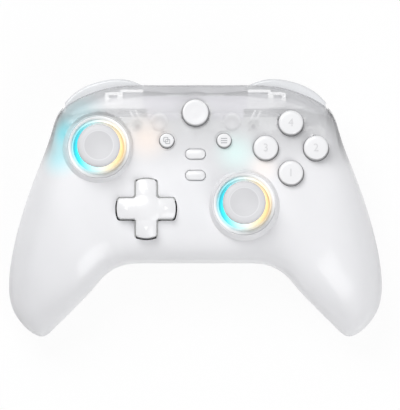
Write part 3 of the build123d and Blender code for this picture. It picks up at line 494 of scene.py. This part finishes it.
def radial_tone(material, x, y):
    """The cap is a little darker in the dish, with painted highlights: a pale line round the dish
    and a soft band on the slope.
    """
    tree = material.node_tree
    away = distance_in_plan(tree, object_place(tree), x, y)
    stops = (
        (0, 0.96), (1, 0.98), (0.585, 0.94), (0.60, 1.09), (0.62, 1.09), (0.64, 1.0), (0.80, 1.03)
    )
    greys = [(spot, (level, level, level)) for spot, level in stops]
    tone = colour_ramp(tree, mapped(tree, away, 0, CAP_REACH), *greys)
    tint_base(material, 1, tone, "MULTIPLY")


for side, (x, y) in (("left", LEFT_STICK), ("right", RIGHT_STICK)):
    cap_grey = moulded(f"cap_grey_{side}", CAP_GREY, 0.5, mottle=0.02, lift=0.00004)
    # The pale line round the dish and the pale band on the slope of the cap are painted
    # highlights.
    radial_tone(cap_grey, x, y)
    ring_light(cap_grey, x, y, DOME_TOP, 0.55)
    cap = smoothed(f"stick_cap_{side}", f"thumb_cap_{side}", f"stick_{side}", cap_grey, angle=28)

# Cross pad. A single white moulded cross that rocks on a post, with a small raised arrowhead
# near the end of each arm.
CROSS = Vector((-0.0203825, -0.0017952, 0.0466))
ARROW_OUT = 0.0082
ARROW_RADIUS = 0.00115
ARROW_DEPTH = 0.00016
ARROW_SOFT = 0.00006
KEY_WHITE = (0.84, 0.84, 0.85)
KEY_ANGLE = 30


def settled(name):
    """The piece that was just added, named, with its place and turn taken into its points."""
    piece = bpy.context.object
    piece.name = name
    bpy.ops.object.transform_apply(location=True, rotation=True, scale=True)
    return piece


def soften_edges(piece, width):
    soften = piece.modifiers.new("soften", "BEVEL")
    soften.width = width
    soften.segments = 2
    bpy.ops.object.modifier_apply(modifier="soften")


key_white = moulded("key_white", KEY_WHITE, 0.3, mottle=0.01, coat=0.3)
cross = smoothed("cross_pad", "white_cross_pad", "cross", key_white, angle=KEY_ANGLE)
arrow_white = moulded("arrow_white", (0.93, 0.93, 0.93), 0.35)
for turn, name in enumerate(("right", "up", "left", "down")):
    angle = turn * math.pi / 2
    deselect()
    bpy.ops.mesh.primitive_cylinder_add(
        vertices=3,
        radius=ARROW_RADIUS,
        depth=ARROW_DEPTH,
        location=CROSS + Vector((math.cos(angle), math.sin(angle), 0)) * ARROW_OUT,
        rotation=(0, 0, angle - math.pi / 2),
    )
    arrow = settled(f"cross_arrow_{name}")
    soften_edges(arrow, ARROW_SOFT)
    dress(arrow, arrow_white)
    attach(arrow, "cross")

# Face buttons. Four domed caps moulded in glossy white, each with a plain number in relief.
# The edge of a cap has painted shade where it rolls off, darker on its near side.
DIGIT_TALL = 0.0046
DIGIT_RISE = 0.00009
# Painted shade at the edge of a round key: its colour, inset, shift of the centre to the far
# side, and strength.
EDGE_SHADE = (0.26, 0.26, 0.265)
EDGE_INSET = 0.0007
EDGE_SHIFT = 0.0004
EDGE_MOST = 0.85


def rolled_edge(name, node):
    """Glossy white on the crown of a round key, with painted shade where the edge turns down,
    darker on the near side.
    """
    material = moulded(name, KEY_WHITE, 0.3, mottle=0.01, coat=0.3)
    low, high = (Vector(corner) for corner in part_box(node))
    radius = (high.x - low.x) / 2 - EDGE_INSET
    centre = ((low.x + high.x) / 2, (low.y + high.y) / 2 + EDGE_SHIFT)
    tree = material.node_tree
    away = distance_in_plan(tree, object_place(tree), *centre)
    mask = mapped(tree, away, radius * 0.90, radius * 1.04, 0, EDGE_MOST, "SMOOTHSTEP")
    tint_base(material, mask, (*EDGE_SHADE, 1))
    return material


digit_white = moulded("digit_pale_grey", (0.68, 0.68, 0.69), 0.4)
for number, name in enumerate(("bottom", "right", "left", "top"), start=1):
    node = f"face_button_{name}"
    domed_white = rolled_edge(f"domed_white_{name}", node)
    cap = smoothed(node, f"domed_key_{name}", f"face_{name}", domed_white, angle=KEY_ANGLE)
    low, high = (Vector(corner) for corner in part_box(f"face_button_{name}"))
    middle = (low + high) / 2
    deselect()
    bpy.ops.object.text_add(location=(middle.x, middle.y, high.z))
    text = bpy.context.object.data
    text.body = str(number)
    text.size = DIGIT_TALL
    text.align_x = "CENTER"
    text.align_y = "CENTER"
    text.extrude = DIGIT_RISE
    bpy.ops.object.convert(target="MESH")
    digit = settled(f"key_digit_{name}")
    dress(digit, digit_white)
    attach(digit, f"face_{name}")

# Home, view, menu and pill buttons. Small white moulded keys; the view key has two outlined
# squares and the menu key three bars, both printed in grey.
PRINT_DEPTH = 0.00016
PRINT_SUNK = 0.00005
BAR_WIDE = 0.0026
BAR_TALL = 0.00035
BAR_PITCH = 0.0009
SQUARE = 0.0017
SQUARE_SHIFT = 0.0004
LINE = 0.00028
LINE_SOFT = 0.3
# Home, view and menu keys carry painted shade round their edges, darker on the near side.
for name in ("home", "view", "menu"):
    node = f"{name}_button"
    small_white = rolled_edge(f"{name}_key_white", node)
    key = smoothed(node, f"white_{name}_key", f"{name}_key", small_white, angle=KEY_ANGLE)
for name in ("turbo", "function"):
    node = f"{name}_button"
    key = smoothed(node, f"white_{name}_key", f"{name}_key", key_white, angle=KEY_ANGLE)
mark_grey = moulded("mark_grey", (0.40, 0.41, 0.43), 0.5)


def printed_bar(name, body, centre, size):
    """One thin printed line with rounded corners, a hair proud of the key."""
    deselect()
    bpy.ops.mesh.primitive_cube_add(size=1, location=centre, scale=size)
    bar = settled(name)
    soften_edges(bar, min(size) * LINE_SOFT)
    dress(bar, mark_grey)
    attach(bar, body)


def key_top(node):
    """The middle of a key, at its highest point."""
    low, high = (Vector(corner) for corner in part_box(node))
    middle = (low + high) / 2
    return Vector((middle.x, middle.y, high.z))


top = key_top("menu_button")
for row in (-1, 0, 1):
    spot = top + Vector((0, row * BAR_PITCH, -PRINT_SUNK))
    printed_bar(f"menu_bar_{row + 2}", "menu_key", spot, (BAR_WIDE, BAR_TALL, PRINT_DEPTH))
top = key_top("view_button")
for index, shift in ((1, SQUARE_SHIFT), (2, -SQUARE_SHIFT)):
    for edge, (across, up, wide, tall) in enumerate((
        (0, SQUARE / 2, SQUARE, LINE),
        (0, -SQUARE / 2, SQUARE, LINE),
        (SQUARE / 2, 0, LINE, SQUARE),
        (-SQUARE / 2, 0, LINE, SQUARE),
    ), start=1):
        spot = top + Vector((across - shift, up + shift, -PRINT_SUNK))
        printed_bar(f"view_line_{index}_{edge}", "view_key", spot, (wide, tall, PRINT_DEPTH))

# Bumpers and triggers. Both are moulded in cloudy clear plastic, more see-through than the face,
# with a polished front edge; here they are one pale, glossy, opaque plastic under a clear coat.
cloudy = moulded("cloudy_clear_plastic", (0.74, 0.75, 0.765), 0.28, coat=0.4)
for name in ("bumper", "trigger"):
    for side in ("left", "right"):
        node = f"{name}_{side}"
        piece = smoothed(node, f"cloudy_{node}", f"{node}_body", cloudy, angle=KEY_ANGLE)

# Stick works: housing, frame, sleeve and stem of each stick, in grey technical plastic. The
# post of the cross and the ring that it rocks on are made of the same.
works_grey = moulded("works_grey_plastic", (0.50, 0.51, 0.53), 0.5)
stem_grey = moulded("stem_dark_plastic", (0.20, 0.20, 0.21), 0.42)
for side in ("left", "right"):
    for node in ("stick_housing", "gimbal_frame", "pivot_sleeve"):
        dress(nodes[f"{node}_{side}"], works_grey)
    dress(nodes[f"stick_stem_{side}"], stem_grey)
for node in ("cross_post", "cross_rock_ring"):
    dress(nodes[node], works_grey)

# Inner frame under the upper edge. A pale moulding with a greyer block in the middle, which
# shows through the clear face and is lit by the lamps inside.
BLOCK_EDGE = 0.0217
BLOCK_FULL = 0.0213
BLOCK_GREY = (0.50, 0.49, 0.53)


def lit_inside(material, strength):
    """The lamps fill the inside with light, so a piece there gives off some of its colour."""
    tree = material.node_tree
    shader = tree.nodes["Principled BSDF"]
    colour = shader.inputs["Base Color"].links[0].from_socket
    feed(tree, colour, shader.inputs["Emission Color"])
    feed(tree, strength, shader.inputs["Emission Strength"])
    return material


frame_white = moulded("frame_white", (0.62, 0.62, 0.63), 0.45)
tree = frame_white.node_tree
aside = tree.nodes.new("ShaderNodeMath")
aside.operation = "ABSOLUTE"
feed(tree, place_parts(tree, object_place(tree))["X"], aside.inputs[0])
block = mapped(tree, aside.outputs["Value"], BLOCK_EDGE, BLOCK_FULL)
tint_base(frame_white, block, (*BLOCK_GREY, 1))
dress(nodes["inner_frame"], lit_inside(frame_white, 0.4))

# Boards, switches, lamps and key mats, inside the shells. The boards are lacquered white, the
# mat of the face buttons is pale rubber and the one of the cross is dark.
board_white = moulded("board_white_lacquer", (0.66, 0.67, 0.66), 0.35, mottle=0.04)
for node in ("main_board", "lamp_board_left", "lamp_board_right"):
    dress(nodes[node], board_white)
lit_inside(board_white, 0.45)
switch_grey = moulded("switch_grey", (0.36, 0.37, 0.38), 0.4)
for node in ("press_switches", "bumper_switches"):
    dress(nodes[node], switch_grey)
lamp_clear = moulded("lamp_clear_resin", (0.90, 0.88, 0.80), 0.2)
dress(nodes["ring_lamps"], lamp_clear)
mat_rubber = moulded("mat_pale_rubber", (0.72, 0.72, 0.73), 0.65, sheen=0.3)
dress(nodes["face_key_mat"], mat_rubber)
mat_dark = moulded("mat_dark_rubber", (0.05, 0.05, 0.055), 0.65, sheen=0.1)
dress(nodes["cross_key_mat"], mat_dark)


# Metal parts: shell and board screws, trigger pins and springs, the socket, and the motors
# with their weights. All are steel, drawn or turned, so the grain runs one way.
def turned_steel(name, colour, roughness, stretch):
    """Steel whose grain is drawn out by a different amount along each axis."""
    material = moulded(name, colour, roughness, mottle=0.05, grain=1500)
    tree = material.node_tree
    feed(tree, 1.0, tree.nodes["Principled BSDF"].inputs["Metallic"])
    along = tree.nodes.new("ShaderNodeMapping")
    feed(tree, object_place(tree), along.inputs["Vector"])
    feed(tree, stretch, along.inputs["Scale"])
    for cloud in [each for each in tree.nodes if each.type == "TEX_NOISE"]:
        feed(tree, along.outputs["Vector"], cloud.inputs["Vector"])
    return material


screw_steel = lit_inside(turned_steel("screw_steel", (0.52, 0.52, 0.53), 0.35, (1, 1, 6)), 0.35)
pin_steel = turned_steel("drawn_pin_steel", (0.60, 0.60, 0.61), 0.3, (0.1, 2, 2))
can_steel = turned_steel("motor_can_steel", (0.58, 0.58, 0.59), 0.35, (0.1, 2, 2))
weight_steel = turned_steel("weight_steel", (0.40, 0.40, 0.41), 0.45, (2, 1, 1))
for node, steel in (
    ("shell_screws", screw_steel),
    ("board_screws", screw_steel),
    ("trigger_pins", pin_steel),
    ("trigger_springs", pin_steel),
    ("usb_socket", pin_steel),
    ("rumble_motor_left", can_steel),
    ("rumble_motor_right", can_steel),
    ("rumble_weight_left", weight_steel),
    ("rumble_weight_right", weight_steel),
):
    dress(nodes[node], steel)

# Battery and its lead. A flat cell in a grey-blue wrap, and a thin lead in dark rubber that
# runs from the cell to the board.
cell_wrap = moulded("cell_wrap_film", (0.34, 0.38, 0.44), 0.3, mottle=0.05, coat=0.3)
dress(nodes["battery"], cell_wrap)
lead_rubber = moulded("lead_dark_rubber", (0.06, 0.06, 0.065), 0.55)
dress(nodes["battery_lead"], lead_rubber)

# Ribs and bosses under the face, which show as faint lines through its clear part: three plain
# ribs, on each side a strip, the walls of a snap loop and two slanted ribs, and between the
# face buttons a ring-shaped boss with four short ribs.
RIB_LOW = 0.0382
RIB_HIGH = 0.0410
RIB_THICK = 0.0007
RIB_SOFT = 0.2
STRIP_LOW = 0.0377
STRIP_HIGH = 0.0386
FACE_RIBS = (
    ((0.0050, 0.0310), (0.0078, 0.0300)),
    ((0.0, 0.0308), (0.0, 0.0244)),
    ((-0.0232, 0.0179), (-0.0070, 0.0179)),
)
# Name, start, end and thickness of each wall on the right; the left is the mirror image.
SIDE_WALLS = (
    ("edge_strip", (0.0312, 0.0475), (0.0216, 0.0475), 0.0012),
    ("loop_inner_leg", (0.0312, 0.0405), (0.0312, 0.0471), 0.0023),
    ("loop_outer_leg", (0.0367, 0.0405), (0.0367, 0.0468), 0.0018),
    ("loop_near_bar", (0.0320, 0.04155), (0.0362, 0.04155), 0.0021),
    ("loop_far_bar", (0.0320, 0.0464), (0.0362, 0.0464), 0.0013),
    ("slanted_rib_outer", (0.0271, 0.0393), (0.0250, 0.0352), 0.0008),
    ("slanted_rib_inner", (0.0250, 0.0397), (0.0229, 0.0356), 0.0008),
)
CLUSTER = Vector((0.039525, 0.0232848))
CLUSTER_START = 0.0026
CLUSTER_END = 0.0112
BOSS_RADIUS = 0.0021
frame_grey = moulded("frame_pale_grey", (0.46, 0.46, 0.48), 0.45)
strip_white = lit_inside(moulded("snap_loop_white", (0.86, 0.86, 0.86), 0.4), 0.2)


def rib(name, start, end, material=frame_grey, thick=RIB_THICK, low=RIB_LOW, high=RIB_HIGH):
    """A thin wall with softened edges, hung from the inside of the face."""
    start, end = Vector((*start, 0)), Vector((*end, 0))
    middle = (start + end) / 2
    run = end - start
    deselect()
    bpy.ops.mesh.primitive_cube_add(
        size=1,
        location=(middle.x, middle.y, (low + high) / 2),
        rotation=(0, 0, math.atan2(run.y, run.x)),
        scale=(run.length, thick, high - low),
    )
    wall = settled(name)
    soften_edges(wall, thick * RIB_SOFT)
    dress(wall, material)
    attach(wall, "body")


for index, (start, end) in enumerate(FACE_RIBS, start=1):
    rib(f"face_rib_{index}", start, end)
for side, name in ((-1, "left"), (1, "right")):
    for wall, start, end, thick in SIDE_WALLS:
        start, end = (side * start[0], start[1]), (side * end[0], end[1])
        rib(f"{wall}_{name}", start, end, strip_white, thick, STRIP_LOW, STRIP_HIGH)
for index in range(4):
    angle = math.pi / 4 + index * math.pi / 2
    way = Vector((math.cos(angle), math.sin(angle)))
    rib(f"cluster_rib_{index + 1}", CLUSTER + way * CLUSTER_START, CLUSTER + way * CLUSTER_END)
deselect()
bpy.ops.mesh.primitive_cylinder_add(
    vertices=48,
    radius=BOSS_RADIUS,
    depth=RIB_HIGH - RIB_LOW,
    location=(*CLUSTER, (RIB_HIGH + RIB_LOW) / 2),
    end_fill_type="NOTHING",
)
boss = settled("cluster_boss")
wall = boss.modifiers.new("wall", "SOLIDIFY")
wall.thickness = RIB_THICK
bpy.ops.object.modifier_apply(modifier="wall")
bpy.ops.object.shade_smooth_by_angle(angle=math.radians(35))
dress(boss, frame_grey)
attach(boss, "body")


# Floor. A plain pale studio table that keeps a soft shadow. To the camera, and in reflections,
# it is nearly as white as the surround.
def either_ray(tree, other):
    """One for a ray from the camera or of one other kind, else nought."""
    path = tree.nodes.new("ShaderNodeLightPath")
    either = tree.nodes.new("ShaderNodeMath")
    either.operation = "MAXIMUM"
    feed(tree, path.outputs["Is Camera Ray"], either.inputs[0])
    feed(tree, path.outputs[other], either.inputs[1])
    return either.outputs["Value"]


FLOOR_SIZE = 6
FLOOR_DROP = 0.0001
FLOOR_SHINE = 0.93
deselect()
bpy.ops.mesh.primitive_plane_add(size=FLOOR_SIZE, location=(0, 0, -FLOOR_DROP))
floor = bpy.context.object
floor.name = "studio_floor"
table = bpy.data.materials.new("studio_table")
table.use_nodes = True
tree = table.node_tree
shader = tree.nodes["Principled BSDF"]
feed(tree, (0.9, 0.9, 0.9, 1), shader.inputs["Base Color"])
feed(tree, 0.8, shader.inputs["Roughness"])
shine = tree.nodes.new("ShaderNodeEmission")
seen = product(tree, either_ray(tree, "Is Glossy Ray"), FLOOR_SHINE)
blend_surface(tree, seen, shader.outputs["BSDF"], shine.outputs["Emission"])
dress(floor, table)

# Studio light: a pale surround, which is brighter to the camera and through clear plastic, a
# wide soft lamp behind the upper left and a weaker one in front.
LAMP_SIZE = 0.5
LAMP_AIM = Vector((0, 0, 0.03))
world = bpy.data.worlds.new("studio_surround")
bpy.context.scene.world = world
world.use_nodes = True
tree = world.node_tree
around = tree.nodes["Background"]
feed(tree, (0.96, 0.965, 0.985, 1), around.inputs["Color"])
feed(tree, 0.375, around.inputs["Strength"])
white = tree.nodes.new("ShaderNodeBackground")
seen = either_ray(tree, "Is Transmission Ray")
backgrounds = (around.outputs["Background"], white.outputs["Background"])
blend_surface(tree, seen, *backgrounds, output="World Output")
for name, spot, power in (
    ("upper_lamp", (-0.25, 0.45, 0.75), 4.9),
    ("front_lamp", (0.35, -0.45, 0.60), 2.6),
):
    lamp = bpy.data.lights.new(name, "AREA")
    lamp.size = LAMP_SIZE
    lamp.energy = power
    holder = bpy.data.objects.new(name, lamp)
    bpy.context.collection.objects.link(holder)
    holder.location = spot
    holder.rotation_euler = (LAMP_AIM - Vector(spot)).to_track_quat("-Z", "Y").to_euler()

# Camera: a long lens nearly straight above the face, as in the photograph. The view is as wide
# as the photograph at the height of the face.
LENS = 1500.0
SENSOR = 36.0
VIEW_WIDE = 0.1656
RISE = math.radians(86)
AIM = Vector((0.0019, -0.00027, FACE))
distance = VIEW_WIDE * LENS / SENSOR
camera = bpy.data.objects.new("studio_camera", bpy.data.cameras.new("studio_camera"))
bpy.context.collection.objects.link(camera)
camera.data.lens = LENS
camera.data.sensor_width = SENSOR
camera.data.sensor_fit = "HORIZONTAL"
camera.data.clip_end = 20
camera.location = AIM + Vector((0, -math.cos(RISE), math.sin(RISE))) * distance
camera.rotation_euler = (math.pi / 2 - RISE, 0, 0)
bpy.context.scene.camera = camera
bpy.context.scene.view_settings.view_transform = "Standard"
